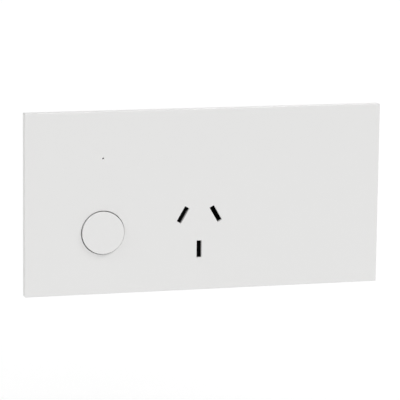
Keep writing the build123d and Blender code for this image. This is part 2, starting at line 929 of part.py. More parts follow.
def make_plunger():
    front = plunger_front()
    body = slab(plunger_room(), front, plunger_back)
    body = chamfer(body.edges().filter_by(Axis.Y), plunger_edge)
    body += rod(button_x, button_z, spigot_radius, front - spigot_length, front)
    body -= rod(button_x, button_z, spring_pocket_radius, spring_pocket_front, plunger_back)
    rib_z0, rib_z1 = lever_z0 + nose_rib_start, button_z + plunger_width / 2
    body += upright(button_x, plunger_back, nose_rib_radius, rib_z0, rib_z1)

    # Track of the latch, a pocket in the underside with the heart left standing in it
    under = button_z - plunger_width / 2
    room = latch_wire_radius + latch_clearance
    swing_back = latch_arm * (1 - cos(latch_swing()))
    front_end = latch_pin_y - button_travel - room
    back_end = latch_pin_y + swing_back + room
    half = latch_track + room
    pocket = RectangleRounded(2 * half, back_end - front_end, latch_track_corner)
    pocket = Pos(0, (front_end + back_end) / 2) * pocket
    track = extrude(Pos(button_x, 0, under) * (pocket - island()), amount=latch_groove_depth)
    return body - track


def latch_swing():
    """How far the latch turns between the two sides of the heart, in radians."""
    return 2 * latch_track / latch_arm


def make_latch():
    x, y = latch_pivot()
    arm_z = latch_wire_z()
    points = (
        (x, y, arm_z - latch_leg),
        (x, y, arm_z),
        (x, latch_pin_y, arm_z),
        (x, latch_pin_y, button_z - plunger_width / 2 + latch_groove_depth - latch_clearance),
    )
    return bent_wire(points, latch_wire_radius, 2 * latch_wire_radius)


# Contact lever: pushed by the plunger, it carries the moving contact to the fixed one
def make_lever():
    half = lever_metal / 2
    arm = block(lever_x - lever_reach, lever_x, lever_y - half, lever_y + half, lever_z0, lever_z1)
    eye = upright(lever_x, lever_y, lever_eye_radius, lever_z0, lever_z1)
    bore = upright(lever_x, lever_y, lever_pin_radius + lever_pin_clearance, lever_z0, lever_z1)
    return arm + eye - bore


def contact_tip(x, seat, face):
    """A domed silver rivet head from its seat to its face, along Y."""
    edge = (seat + face) / 2
    z = (lever_z0 + lever_z1) / 2
    return turned(x, z, (0, seat), (tip_radius, seat), (tip_radius, edge), (tip_face_radius, face), (0, face))


def make_lever_pin():
    low = lever_z0 - ear_gap - strap_metal
    high = lever_z1 + ear_gap + strap_metal
    shank = upright(lever_x, lever_y, lever_pin_radius, low, high)
    head = upright(lever_x, lever_y, lever_pin_head_radius, high, high + lever_pin_head)
    foot = upright(lever_x, lever_y, lever_pin_head_radius, low - lever_pin_head, low)
    return shank + head + foot


def make_supply_bracket():
    low = lever_z0 - ear_gap - strap_metal
    high = lever_z1 + ear_gap
    left, right = lever_x - bracket_half_width, lever_x + bracket_half_width
    body = strap_bar(left, right, bracket_y, low, terminal_bottom)
    foot_end = active_terminal_x + terminal_width / 3
    body += strap_bar(left, foot_end, bracket_y, terminal_bottom - bracket_foot, terminal_bottom)
    ear_front = lever_y - ear_half_width
    bore = lever_pin_radius + lever_pin_clearance
    for z in (low, high):
        left, right = lever_x - ear_half_width, lever_x + ear_half_width
        ear = block(left, right, ear_front, bracket_y, z, z + strap_metal)
        body += ear - upright(lever_x, lever_y, bore, z, z + strap_metal)
    return body


# Lamp: a light pipe behind the pinhole, and a small board with the lamp and its resistor
def make_light_pipe():
    flange_back = floor_y + pipe_flange
    return turned(
        lamp_x,
        lamp_z,
        (0, cover_inner_y),
        (pipe_radius - pipe_edge, cover_inner_y),
        (pipe_radius, cover_inner_y + pipe_edge),
        (pipe_radius, floor_y),
        (pipe_flange_radius, floor_y),
        (pipe_flange_radius, flange_back),
        (0, flange_back),
    )


def make_lamp():
    front = board_front()
    flange = front - lamp_flange
    shoulder = flange - lamp_length + lamp_radius
    body = rod(lamp_x, lamp_z, lamp_radius, shoulder, flange)
    body += Pos(lamp_x, shoulder, lamp_z) * Sphere(lamp_radius)
    body += rod(lamp_x, lamp_z, lamp_flange_radius, flange, front)
    end = front + board_thickness + lead_length
    for side in (-1, 1):
        body += rod(lamp_x + side * lead_pitch, lamp_z, lead_radius, front, end)
    return body


def make_board():
    front = board_front()
    middle = board_middle()
    body = block(
        lamp_x - board_width / 2,
        lamp_x + board_width / 2,
        front,
        front + board_thickness,
        middle - board_height / 2,
        middle + board_height / 2,
    )
    hole = lead_radius + lead_clearance
    for side in (-1, 1):
        body -= rod(lamp_x + side * lead_pitch, lamp_z, hole, front, front + board_thickness)
    return body


def make_resistor():
    back = board_front() + board_thickness
    lift = back + resistor_radius + resistor_lift
    z = lamp_z - resistor_drop - resistor_span / 2
    half = resistor_span / 2
    points = (
        (lamp_x, back, z - half),
        (lamp_x, lift, z - half),
        (lamp_x, lift, z + half),
        (lamp_x, back, z + half),
    )
    leads = bent_wire(points, lead_radius, 2 * lead_radius)
    return leads + upright(lamp_x, lift, resistor_radius, z - resistor_length / 2, z + resistor_length / 2)


def make_neutral_wire():
    start_x = lamp_x + board_width / 2 - wire_radius
    board_back = board_front() + board_thickness
    strap_front = contact_base_y - contact_metal
    turn_x = notch_right + housing_wall + wire_notch_gap
    points = (
        (start_x, board_back, neutral_wire_z),
        (start_x, board_back + wire_stand, neutral_wire_z),
        (turn_x, board_back + wire_stand, neutral_wire_z),
        (turn_x + wire_descent, wire_y, neutral_wire_z),
        (neutral_terminal_x, wire_y, neutral_wire_z),
        (neutral_terminal_x, strap_front, neutral_wire_z),
    )
    return bent_wire(points, wire_radius, wire_bend)


def make_active_wire():
    start_x = lamp_x + board_width / 2 - wire_radius
    board_back = board_front() + board_thickness
    turn_x = notch_right + housing_wall + wire_notch_gap
    strip_z = (lever_z0 + lever_z1) / 2
    points = (
        (start_x, board_back, active_wire_z),
        (start_x, board_back + wire_stand, active_wire_z),
        (turn_x, board_back + wire_stand, active_wire_z),
        (turn_x + wire_descent, wire_y, active_wire_z),
        (active_wire_x, wire_y, active_wire_z),
        (active_wire_x, wire_y, strip_z),
        (active_wire_x, link_y(), strip_z),
    )
    return bent_wire(points, wire_radius, wire_bend)


# Screws
def cross_recess(x, z, head_y, depth, reach, width, front=True):
    """The crossed slot of a screw head whose face is at head_y."""
    y0, y1 = (head_y, head_y + depth) if front else (head_y - depth, head_y)
    half = width / 2
    level = block(x - reach, x + reach, y0, y1, z - half, z + half)
    return level + block(x - half, x + half, y0, y1, z - reach, z + reach)


def make_fixing_screw(x):
    head_y = fixing_seat_y - fixing_head
    tip = fixing_length
    body = turned(
        x,
        0,
        (0, head_y),
        (fixing_head_radius - fixing_head_bevel, head_y),
        (fixing_head_radius, head_y + fixing_head_bevel),
        (fixing_head_radius, fixing_seat_y),
        (fixing_neck_radius, fixing_seat_y),
        (fixing_neck_radius, fixing_thread_start),
        (fixing_thread_radius, fixing_thread_start),
        (fixing_thread_radius, tip - fixing_tip_length),
        (fixing_thread_radius - fixing_tip_taper, tip),
        (0, tip),
    )
    reach = fixing_head_radius * recess_share
    return body - cross_recess(x, 0, head_y, fixing_recess_depth, reach, fixing_recess_width)


def make_retainer(x):
    body = rod(x, 0, retainer_radius, -retainer_recess, -retainer_recess + retainer_thickness)
    return body - rod(x, 0, fixing_neck_radius + retainer_clearance, -retainer_recess, 0)


def make_assembly_screw(x, z):
    head_seat = lid_outer_y - assembly_head
    top = lid_outer_y - assembly_head_set
    body = turned(
        x,
        z,
        (0, -assembly_screw_grip),
        (assembly_screw_radius - assembly_tip_taper, -assembly_screw_grip),
        (assembly_screw_radius, -assembly_screw_grip + assembly_tip_length),
        (assembly_screw_radius, head_seat),
        (assembly_head_radius, head_seat),
        (assembly_head_radius, top - assembly_head_bevel),
        (assembly_head_radius - assembly_head_bevel, top),
        (0, top),
    )
    reach = assembly_head_radius * recess_share
    return body - cross_recess(x, z, top, assembly_recess_depth, reach, assembly_recess_width, front=False)


# Springs
def make_button_spring():
    length = housing_depth - spring_pocket_front
    start = (button_x, spring_pocket_front, button_z)
    return coil(start, (0, 1, 0), length, spring_radius, spring_wire, spring_turns)


def make_shutter_spring(side):
    foot_z = socket_z + shutter_foot
    start = (
        socket_x + side * shutter_spring_reach,
        (shutter_front_y + shutter_back_y) / 2,
        foot_z - shutter_spring_length,
    )
    return coil(
        start,
        (0, 0, 1),
        shutter_spring_length,
        shutter_spring_radius,
        shutter_spring_wire,
        shutter_spring_turns,
    )


os.makedirs("parts", exist_ok=True)
save("cover", make_cover())
save("mounting_grid", make_grid())
save("mechanism_housing", make_housing())
save("rear_lid", make_lid())
save("contact_carrier", make_carrier())
save("safety_shutter", make_shutter())
save("active_contact", make_active_contact())
save("neutral_contact", make_neutral_contact())
save("earth_contact", make_earth_contact())
for name, x in terminals.items():
    save(f"{name}_terminal", make_terminal(x))
    save(f"{name}_terminal_screw", make_terminal_screw(x))
save("button_cap", make_cap())
save("button_plunger", make_plunger())
save("button_spring", make_button_spring())
save("latch_wire", make_latch())
save("contact_lever", make_lever())
tip_seat = lever_y + lever_metal / 2
save("moving_tip", contact_tip(lever_x - tip_reach, tip_seat, tip_seat + tip_thickness))
save("fixed_tip", contact_tip(fixed_tip_x(), link_y(), link_y() - fixed_tip_thickness))
save("lever_pin", make_lever_pin())
save("supply_bracket", make_supply_bracket())
save("light_pipe", make_light_pipe())
save("lamp", make_lamp())
save("lamp_board", make_board())
save("lamp_resistor", make_resistor())
save("lamp_neutral_wire", make_neutral_wire())
save("lamp_active_wire", make_active_wire())
for name, x in fixings.items():
    save(f"fixing_screw_{name}", make_fixing_screw(x))
    save(f"screw_retainer_{name}", make_retainer(x))
for name, (x, z) in posts.items():
    save(f"assembly_screw_{name}", make_assembly_screw(x, z))
for name, side in {"left": -1, "right": 1}.items():
    save(f"shutter_spring_{name}", make_shutter_spring(side))
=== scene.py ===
import json
from math import cos, radians, sin, tau

import bpy
from mathutils import Matrix, Vector


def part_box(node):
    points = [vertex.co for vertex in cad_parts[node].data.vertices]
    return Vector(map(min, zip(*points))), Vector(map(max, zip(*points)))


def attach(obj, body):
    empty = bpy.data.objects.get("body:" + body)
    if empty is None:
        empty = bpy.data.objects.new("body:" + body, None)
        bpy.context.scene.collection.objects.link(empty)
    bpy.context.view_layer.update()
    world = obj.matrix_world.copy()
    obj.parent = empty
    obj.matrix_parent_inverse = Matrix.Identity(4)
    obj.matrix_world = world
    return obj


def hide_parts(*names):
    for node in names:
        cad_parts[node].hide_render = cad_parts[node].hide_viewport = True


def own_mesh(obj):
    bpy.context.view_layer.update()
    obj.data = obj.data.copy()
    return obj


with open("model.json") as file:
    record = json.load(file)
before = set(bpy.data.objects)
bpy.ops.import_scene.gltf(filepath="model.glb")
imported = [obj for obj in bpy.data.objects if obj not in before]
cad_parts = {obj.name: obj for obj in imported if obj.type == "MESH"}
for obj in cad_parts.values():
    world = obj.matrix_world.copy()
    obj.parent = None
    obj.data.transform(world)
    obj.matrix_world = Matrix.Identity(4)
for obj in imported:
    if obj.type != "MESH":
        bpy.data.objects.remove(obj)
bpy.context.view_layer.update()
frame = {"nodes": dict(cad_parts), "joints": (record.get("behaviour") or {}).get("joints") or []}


# Camera: a long lens to the left of the outlet and a little above it, as the photograph was
# taken. The place and the lens were worked out from the corners, the slots and the button ring.
YAW, PITCH, ROLL = radians(-15.697), radians(10.283), radians(0.67)
AIM, DISTANCE = Vector((-0.963e-3, -2.5e-3, -0.81e-3)), 1.02067
PHOTO_PIXELS, FOCAL_PIXELS, SENSOR_WIDTH = 400, 2520.39, 36.0
back = Vector((sin(YAW) * cos(PITCH), -cos(YAW) * cos(PITCH), sin(PITCH)))
level = Vector((cos(YAW), sin(YAW), 0.0))
rise = back.cross(level)
right = cos(ROLL) * level + sin(ROLL) * rise
up = -sin(ROLL) * level + cos(ROLL) * rise
lens = bpy.data.cameras.new("camera")
lens.sensor_width = SENSOR_WIDTH
lens.lens = FOCAL_PIXELS / PHOTO_PIXELS * SENSOR_WIDTH
lens.clip_start = 0.05
lens.clip_end = 50.0
camera = bpy.data.objects.new("camera", lens)
facing = Matrix((right, up, back)).transposed().to_4x4()
camera.matrix_world = Matrix.Translation(AIM + DISTANCE * back) @ facing
bpy.context.collection.objects.link(camera)
bpy.context.scene.camera = camera
bpy.context.scene.view_settings.view_transform = "Standard"


# Floor and light: a pale floor well below the outlet, under a dim white sky, with wide soft
# lights at the front, on the left, on the right and behind.
class Shade:
    """A socket of the sky's or a material's nodes. Sums and comparisons on it add Math nodes."""

    def __init__(self, tree, socket=None):
        self.tree, self.socket = tree, socket

    def node(self, kind, settings, sockets, out=0):
        """Any other node, from its type, its settings and the values or links of its sockets."""
        made = self.tree.nodes.new("ShaderNode" + kind)
        for name, value in settings.items():
            setattr(made, name, value)
        for name, value in sockets.items():
            if isinstance(value, Shade):
                self.tree.links.new(value.socket, made.inputs[name])
            else:
                made.inputs[name].default_value = value
        return Shade(self.tree, made.outputs[out])

    def math(self, operation, *values):
        return self.node("Math", {"operation": operation}, dict(enumerate(values)))

    def __add__(self, other):
        return self.math("ADD", self, other)

    def __radd__(self, other):
        return self.math("ADD", other, self)

    def __sub__(self, other):
        return self.math("SUBTRACT", self, other)

    def __rsub__(self, other):
        return self.math("SUBTRACT", other, self)

    def __mul__(self, other):
        return self.math("MULTIPLY", self, other)

    def __rmul__(self, other):
        return self.math("MULTIPLY", other, self)

    def __gt__(self, other):
        return self.math("GREATER_THAN", self, other)

    def __lt__(self, other):
        return self.math("LESS_THAN", self, other)

    def between(self, low, high):
        """1 where the value lies from low to high, 0 outside."""
        return (self > low) * (self < high)

    def mix(self, under, over):
        """The colour under where this value is 0, and over where it is 1."""
        return self.node("Mix", {"data_type": "RGBA"}, {0: self, 6: under, 7: over}, out=2)


def new_finish(name):
    """A new material on a Principled shader, and its Object coordinates."""
    material = bpy.data.materials.new(name)
    material.use_nodes = True
    shader = material.node_tree.nodes["Principled BSDF"]
    start = Shade(material.node_tree)
    place = start.node("TexCoord", {}, {}, out="Object")
    return material, shader, place


def spots(place, scale, detail=2.0, stretch=(1, 1, 1), rough=0.5):
    """Noise from 0 to 1, with about this many spots to the metre."""
    seen = place
    if stretch != (1, 1, 1):
        seen = place.node("Mapping", {}, {"Vector": place, "Scale": stretch})
    sockets = {"Vector": seen, "Scale": scale, "Detail": detail, "Roughness": rough}
    return place.node("TexNoise", {}, sockets)


def put(shader, socket, value):
    """Sets a shader's socket to a number or colour, or links a Shade to it."""
    if isinstance(value, Shade):
        value.tree.links.new(value.socket, shader.inputs[socket])
    else:
        shader.inputs[socket].default_value = value


def grain(shader, height, depth):
    """Bumps the surface by height times depth metres."""
    sockets = {"Height": height, "Strength": 1.0, "Distance": depth}
    put(shader, "Normal", height.node("Bump", {}, sockets))


def dress(material, *names):
    """Gives CAD nodes this finish."""
    for name in names:
        for slot in frame["nodes"][name].material_slots:
            slot.material = material


FLOOR_SIZE, FLOOR_HEIGHT = 18, -0.16
bpy.ops.object.select_all(action="DESELECT")
bpy.ops.mesh.primitive_plane_add(size=FLOOR_SIZE, location=(0, 0, FLOOR_HEIGHT))
floor = bpy.context.object
floor.name = "floor"
paint, shader, place = new_finish("pale_floor")
tone = spots(place, 30.0) * 0.02
put(shader, "Base Color", tone.mix((0.99, 0.99, 0.99, 1), (0.96, 0.96, 0.96, 1)))
put(shader, "Roughness", 0.9)
put(shader, "Specular IOR Level", 0.0)
floor.data.materials.append(paint)

SKY_STRENGTH = 0.17
world = bpy.data.worlds.new("studio")
world.use_nodes = True
sky = Shade(world.node_tree)
dim = sky.node("Background", {}, {"Color": (1, 1, 1, 1), "Strength": SKY_STRENGTH})
pale = sky.node("Background", {}, {"Color": (1, 1, 1, 1), "Strength": 1.0})
seen = sky.node("LightPath", {}, {}, out="Is Camera Ray")
backdrop = sky.node("MixShader", {}, {0: seen, 1: dim, 2: pale})
world.node_tree.links.new(backdrop.socket, world.node_tree.nodes["World Output"].inputs["Surface"])
bpy.context.scene.world = world


def soft_light(name, around, above, strength, spread):
    """Even light from far away: degrees round to the right of the front, degrees above level."""
    light = bpy.data.lights.new(name, "SUN")
    light.energy = strength
    light.angle = radians(spread)
    made = bpy.data.objects.new(name, light)
    turn, tilt = radians(around), radians(above)
    away = Vector((-sin(turn) * cos(tilt), cos(turn) * cos(tilt), -sin(tilt)))
    made.matrix_world = away.to_track_quat("-Z", "Y").to_matrix().to_4x4()
    bpy.context.collection.objects.link(made)


soft_light("front_light", around=0, above=38, strength=1.06, spread=40)
soft_light("left_light", around=-75, above=45, strength=0.90, spread=30)
soft_light("right_light", around=56, above=48, strength=0.98, spread=16)
soft_light("rear_light", around=155, above=35, strength=1.20, spread=30)


# Mounting grid: one flat frame of white plastic, injection moulded, which the two fixing screws
# draw onto the wall. It carries the mechanism behind and the cover in front.
def moulded_plastic(name, colour, shine, pores=4500.0, depth=6e-6, cloud=0.03):
    """Injection-moulded plastic: a fine eroded skin, faint clouding and slightly uneven gloss."""
    material, shader, place = new_finish(name)
    dark = tuple(c * (1 - cloud) for c in colour)
    clouds = spots(place, 55.0, detail=3.0)
    skin = spots(place, pores, detail=3.0, rough=0.6)
    put(shader, "Base Color", clouds.mix((*dark, 1), (*colour, 1)))
    put(shader, "Roughness", (1 - shine) + (skin - 0.5) * 0.10 + (clouds - 0.5) * 0.05)
    grain(shader, skin, depth)
    return material, shader


grid_plastic = moulded_plastic("grid_plastic", (0.72, 0.72, 0.70), shine=0.45)[0]
dress(grid_plastic, "mounting_grid")


# Fixing screws: zinc-plated steel with a cold-formed cone head and a rolled machine thread. They
# pass through the grid into the wall box's lugs. The crossed slots take either kind of driver.
def metal(name, colour, tarnish, rough, lines, depth=2e-6):
    """Bare metal with rolling or drawing lines and a patchy tarnish."""
    material, shader, place = new_finish(name)
    marks = spots(place, 900.0, detail=3.0, stretch=lines, rough=0.6)
    patches = spots(place, 260.0, detail=4.0, rough=0.6)
    put(shader, "Base Color", (patches * 0.9).mix((*colour, 1), (*tarnish, 1)))
    put(shader, "Metallic", 1.0)
    put(shader, "Roughness", rough + (marks - 0.5) * 0.16 + (patches - 0.5) * 0.12)
    grain(shader, marks, depth)
    return material


def blank(name):
    """An empty mesh piece in edit mode, with one corner at the origin."""
    bpy.ops.object.select_all(action="DESELECT")
    bpy.ops.mesh.primitive_plane_add(size=1e-3, location=(0, 0, 0))
    made = bpy.context.object
    made.name = made.data.name = name
    bpy.ops.object.mode_set(mode="EDIT")
    bpy.ops.mesh.select_all(action="SELECT")
    bpy.ops.mesh.merge(type="CENTER")
    return made


def trace(points):
    """Draws an outline of (radius, depth) points from the one corner, by extruding it."""
    radius, depth = points[0]
    bpy.ops.transform.translate(value=(radius, depth, 0))
    for next_radius, next_depth in points[1:]:
        step = (next_radius - radius, next_depth - depth, 0)
        bpy.ops.mesh.extrude_vertices_move(TRANSFORM_OT_translate={"value": step})
        radius, depth = next_radius, next_depth


def turned(name, points, steps=36):
    """A solid of revolution about the Y axis, from its outline."""
    made = blank(name)
    trace(points)
    bpy.ops.mesh.select_all(action="SELECT")
    bpy.ops.mesh.spin(steps=steps, angle=tau, center=(0, 0, 0), axis=(0, 1, 0))
    bpy.ops.mesh.select_all(action="SELECT")
    bpy.ops.mesh.remove_doubles(threshold=1e-6)
    bpy.ops.mesh.normals_make_consistent(inside=False)
    bpy.ops.object.mode_set(mode="OBJECT")
    return made


def finish(piece, kind, **settings):
    """Gives a piece a modifier and applies it."""
    bpy.ops.object.select_all(action="DESELECT")
    bpy.context.view_layer.objects.active = piece
    piece.select_set(True)
    modifier = piece.modifiers.new(kind.lower(), kind)
    for name, value in settings.items():
        setattr(modifier, name, value)
    bpy.ops.object.modifier_apply(modifier=modifier.name)


def ease_edges(piece, width):
    """Rounds a piece's sharp edges a little."""
    sharp = {"limit_method": "ANGLE", "angle_limit": radians(50)}
    finish(piece, "BEVEL", width=width, segments=2, **sharp)


def sweep(piece, axis, rise, turns, steps):
    """Sweeps an outline round an axis for whole turns, by this rise and in these steps a turn."""
    climb = {"screw_offset": rise, "iterations": turns}
    finish(piece, "SCREW", axis=axis, steps=steps, render_steps=steps, **climb)


def combine(piece, tool, operation):
    """Cuts the tool from the piece or welds it on, removes the tool and merges flat faces."""
    finish(piece, "BOOLEAN", operation=operation, object=tool, solver="EXACT")
    bpy.data.objects.remove(tool)
    bpy.ops.object.mode_set(mode="EDIT")
    bpy.ops.mesh.select_all(action="SELECT")
    bpy.ops.mesh.remove_doubles(threshold=1e-7)
    bpy.ops.mesh.dissolve_limited(angle_limit=radians(2))
    bpy.ops.object.mode_set(mode="OBJECT")


def thread_ridge(radius, root, pitch, start, end):
    """The helical ridge of a thread, a little sunk in the core, with both its ends closed."""
    ridge = blank("thread_ridge")
    foot = pitch * 0.46
    crest, sunk = foot * 0.12, root - 0.08e-3
    trace([(sunk, -foot), (radius, -crest), (radius, crest), (sunk, foot)])
    bpy.ops.mesh.select_all(action="SELECT")
    bpy.ops.mesh.edge_face_add()
    bpy.ops.mesh.delete(type="ONLY_FACE")
    bpy.ops.object.mode_set(mode="OBJECT")
    sweep(ridge, "Y", pitch, turns=int((end - start) / pitch), steps=20)
    bpy.ops.object.mode_set(mode="EDIT")
    bpy.ops.mesh.select_all(action="SELECT")
    bpy.ops.mesh.remove_doubles(threshold=1e-6)
    bpy.ops.mesh.fill_holes(sides=4)
    bpy.ops.transform.translate(value=(0, start, 0))
    bpy.ops.mesh.normals_make_consistent(inside=False)
    bpy.ops.object.mode_set(mode="OBJECT")
    return ridge


def crossed_slots(long_reach, short_reach, width, face, depth):
    """The tool that cuts a slot with a cross in it, from a head's face down to its depth."""
    bpy.ops.object.select_all(action="DESELECT")
    bpy.ops.mesh.primitive_cube_add(size=1, location=(0, 0, 0))
    tool = bpy.context.object
    bpy.ops.object.mode_set(mode="EDIT")
    bpy.ops.transform.resize(value=(width, 2 * depth, width))
    bpy.ops.mesh.select_mode(type="FACE")
    bpy.ops.mesh.select_all(action="DESELECT")
    bpy.ops.object.mode_set(mode="OBJECT")
    for axis, reach in ((0, long_reach), (2, short_reach)):
        for side in (-1, 1):
            for flat in tool.data.polygons:
                outward = flat.normal[axis] * side > 0.9
                flat.select = outward and abs(flat.center[2 - axis]) < width / 2
            bpy.ops.object.mode_set(mode="EDIT")
            out = [0.0, 0.0, 0.0]
            out[axis] = side * (reach - width / 2)
            bpy.ops.mesh.extrude_region_move(TRANSFORM_OT_translate={"value": out})
            bpy.ops.mesh.select_all(action="DESELECT")
            bpy.ops.object.mode_set(mode="OBJECT")
    bpy.ops.object.mode_set(mode="EDIT")
    bpy.ops.mesh.select_mode(type="VERT")
    bpy.ops.mesh.select_all(action="SELECT")
    bpy.ops.transform.translate(value=(0, face, 0))
    bpy.ops.mesh.normals_make_consistent(inside=False)
    bpy.ops.object.mode_set(mode="OBJECT")
    return tool


def move(piece, step):
    """Moves a piece's mesh, and leaves the piece itself at the origin."""
    bpy.ops.object.select_all(action="DESELECT")
    bpy.context.view_layer.objects.active = piece
    piece.select_set(True)
    bpy.ops.object.mode_set(mode="EDIT")
    bpy.ops.mesh.select_all(action="SELECT")
    bpy.ops.transform.translate(value=step)
    bpy.ops.object.mode_set(mode="OBJECT")


def duplicate(piece, name):
    """A copy of a piece, with its own mesh."""
    copied = bpy.data.objects.new(name, piece.data.copy())
    bpy.context.collection.objects.link(copied)
    return copied


def settle(piece, node, material):
    """Copies a modelled screw to a CAD screw's place, where it stands for that node."""
    low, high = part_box(node)
    placed = duplicate(piece, f"{node}_threaded")
    move(placed, ((low.x + high.x) / 2, low.y, (low.z + high.z) / 2))
    bpy.ops.object.shade_smooth_by_angle(angle=radians(32))
    finish(placed, "WEIGHTED_NORMAL", keep_sharp=True)
    placed.data.materials.append(material)
    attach(placed, "base")
    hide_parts(node)


zinc = metal("zinc_plate", (0.72, 0.73, 0.75), (0.55, 0.56, 0.58), rough=0.30, lines=(3, 3, 3))
MACHINE_THREAD = {"radius": 1.75e-3, "root": 1.45e-3, "pitch": 0.6e-3}
core = MACHINE_THREAD["root"]
low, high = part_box("fixing_screw_left")
length = high.y - low.y
head_radius, head_depth, chamfer = 2.9e-3, 2.0e-3, 0.15e-3
face_radius, rim_radius, rim_depth, cone_depth = 1.9e-3, 2.25e-3, 0.12e-3, 0.7e-3
tip_radius, tip_length = 0.85e-3, 1.1e-3
fixing_screw = turned(
    "fixing_screw",
    [
        (0, 0),
        (face_radius, 0),
        (rim_radius, rim_depth),
        (head_radius, cone_depth),
        (head_radius, head_depth - chamfer),
        (head_radius - chamfer, head_depth),
        (core, head_depth),
        (core, length - tip_length),
        (tip_radius, length),
        (0, length),
    ],
)
slots = crossed_slots(long_reach=3.2e-3, short_reach=1.7e-3, width=0.8e-3, face=0, depth=1.2e-3)
combine(fixing_screw, slots, "DIFFERENCE")
ease_edges(fixing_screw, 0.05e-3)
ridge = thread_ridge(**MACHINE_THREAD, start=3.7e-3, end=length - 1.3e-3)
combine(fixing_screw, ridge, "UNION")
for side in ("left", "right"):
    settle(fixing_screw, f"fixing_screw_{side}", zinc)
bpy.data.objects.remove(fixing_screw)


# Screw retainers: washers punched from red fibre sheet. Pushed over the screws from behind, they
# keep the screws from falling out of the grid.
fibre, shader, place = new_finish("red_fibre")
fluff = spots(place, 2600.0, detail=4.0, stretch=(1, 6, 1), rough=0.7)
put(shader, "Base Color", fluff.mix((0.24, 0.055, 0.035, 1), (0.36, 0.10, 0.07, 1)))
put(shader, "Roughness", 0.62 + fluff * 0.2)
grain(shader, fluff, 2e-5)
dress(fibre, "screw_retainer_left", "screw_retainer_right")


# Mechanism housing, lid and contact carrier: black heat-resistant plastic with a dull eroded
# skin. The lid is screwed on from behind through the housing into the grid.
near_black = (0.014, 0.014, 0.015)
black_plastic = moulded_plastic("black_plastic", near_black, 0.48, depth=9e-6, cloud=0.25)[0]
dress(black_plastic, "mechanism_housing", "rear_lid", "contact_carrier")


# Safety shutter and its springs: a matt black slide with sloping ramps, which the pins push down
# out of their way, and two springs of stainless wire, each with a closed turn at both ends.
deep_black = (0.003, 0.003, 0.003)
shutter_plastic, shader = moulded_plastic("shutter_plastic", deep_black, 0.2, cloud=0.2)
put(shader, "Specular IOR Level", 0.2)
dress(shutter_plastic, "safety_shutter")


WIRE_SIDES, TURN_STEPS = 8, 24


def join(pieces, name):
    """Makes one piece of several, merges what meets, and closes the open ends of wires."""
    bpy.ops.object.select_all(action="DESELECT")
    for piece in pieces:
        piece.select_set(True)
    bpy.context.view_layer.objects.active = pieces[0]
    bpy.ops.object.join()
    pieces[0].name = pieces[0].data.name = name
    bpy.ops.object.mode_set(mode="EDIT")
    bpy.ops.mesh.select_all(action="SELECT")
    bpy.ops.mesh.remove_doubles(threshold=1e-6)
    bpy.ops.mesh.fill_holes(sides=WIRE_SIDES)
    bpy.ops.mesh.normals_make_consistent(inside=False)
    bpy.ops.object.mode_set(mode="OBJECT")
    bpy.ops.object.shade_smooth_by_angle(angle=radians(50))
    return pieces[0]


def wind(node, along, wire, turns):
    """Winds wire of this radius to a CAD spring's size about the origin, along Y (1) or Z (2)."""
    low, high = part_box(node)
    length = high[along] - low[along]
    closed_rise = 2 * wire
    open_rise = (length - 2 * wire - 2 * closed_rise) / (turns - 2)
    climb = wire - length / 2
    stretches = []
    for rise, count in ((closed_rise, 1), (open_rise, turns - 2), (closed_rise, 1)):
        bpy.ops.object.select_all(action="DESELECT")
        bpy.ops.mesh.primitive_circle_add(
            vertices=WIRE_SIDES,
            radius=wire,
            location=((high.x - low.x) / 2 - wire, 0, 0),
            rotation=(radians(90) if along == 2 else 0, 0, 0),
        )
        bpy.ops.object.transform_apply(location=True, rotation=True, scale=True)
        stretch = bpy.context.object
        sweep(stretch, "XYZ"[along], rise, turns=count, steps=TURN_STEPS)
        move(stretch, [climb * (number == along) for number in range(3)])
        stretches.append(stretch)
        climb += rise * count
    return join(stretches, "coil")


def fit_spring(coil, node, along, fixed, joint, material):
    """Copies a coil to a CAD spring's place. It looks up the joint's travel and the fixed end, 0
    (low) or 1 (high), but does not press the coil.
    """
    low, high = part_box(node)
    middle = (low + high) / 2
    spring = duplicate(coil, f"{node}_coiled")
    move(spring, middle)
    spring.data.materials.append(material)
    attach(spring, "base")
    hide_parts(node)
    length = high[along] - low[along]
    travel = next(one["range_m"][1] for one in frame["joints"] if one["name"] == joint)
    anchor = list(middle)
    anchor[along] = (low, high)[fixed][along]
    (length - travel) / length
    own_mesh(spring)


wire_steel = metal(
    "spring_wire", (0.56, 0.56, 0.57), (0.36, 0.35, 0.34), rough=0.30, lines=(2, 2, 2)
)
coil = wind("shutter_spring_left", along=2, wire=0.2e-3, turns=6)
for side in ("left", "right"):
    node = f"shutter_spring_{side}"
    fit_spring(coil, node, along=2, fixed=0, joint="shutter_slide", material=wire_steel)
bpy.data.objects.remove(coil)


# Contacts and terminals: brass strip, blanked and folded, and terminal blocks sawn from drawn
# brass bar, drilled for the wire and tapped for the screw.
brass_bar = metal(
    "brass_bar", (0.83, 0.62, 0.28), (0.62, 0.42, 0.18), rough=0.30, lines=(6, 6, 0.4)
)
dress(brass_bar, "active_terminal", "loop_terminal", "earth_terminal", "neutral_terminal")
brass_strip = metal(
    "brass_strip", (0.80, 0.58, 0.26), (0.60, 0.40, 0.18), rough=0.26, lines=(1, 5, 5)
)
dress(brass_strip, "active_contact", "neutral_contact", "earth_contact", "supply_bracket")


# Terminal screws: nickel-plated steel with a cheese head, slotted right across with a short cross.
# They are backed off a little, as a new outlet comes out of its box.
def headed_outline(length, tip, core, head, crown):
    """A screw's outline from its tip. The crown's corners are (radius, distance from the top)."""
    tip_radius, tip_length = tip
    head_radius, head_depth, chamfer = head
    return [
        (0, 0),
        (tip_radius, 0),
        (core, tip_length),
        (core, length - head_depth),
        (head_radius - chamfer, length - head_depth),
        (head_radius, length - head_depth + chamfer),
        *((radius, length - below) for radius, below in crown),
        (0, length),
    ]


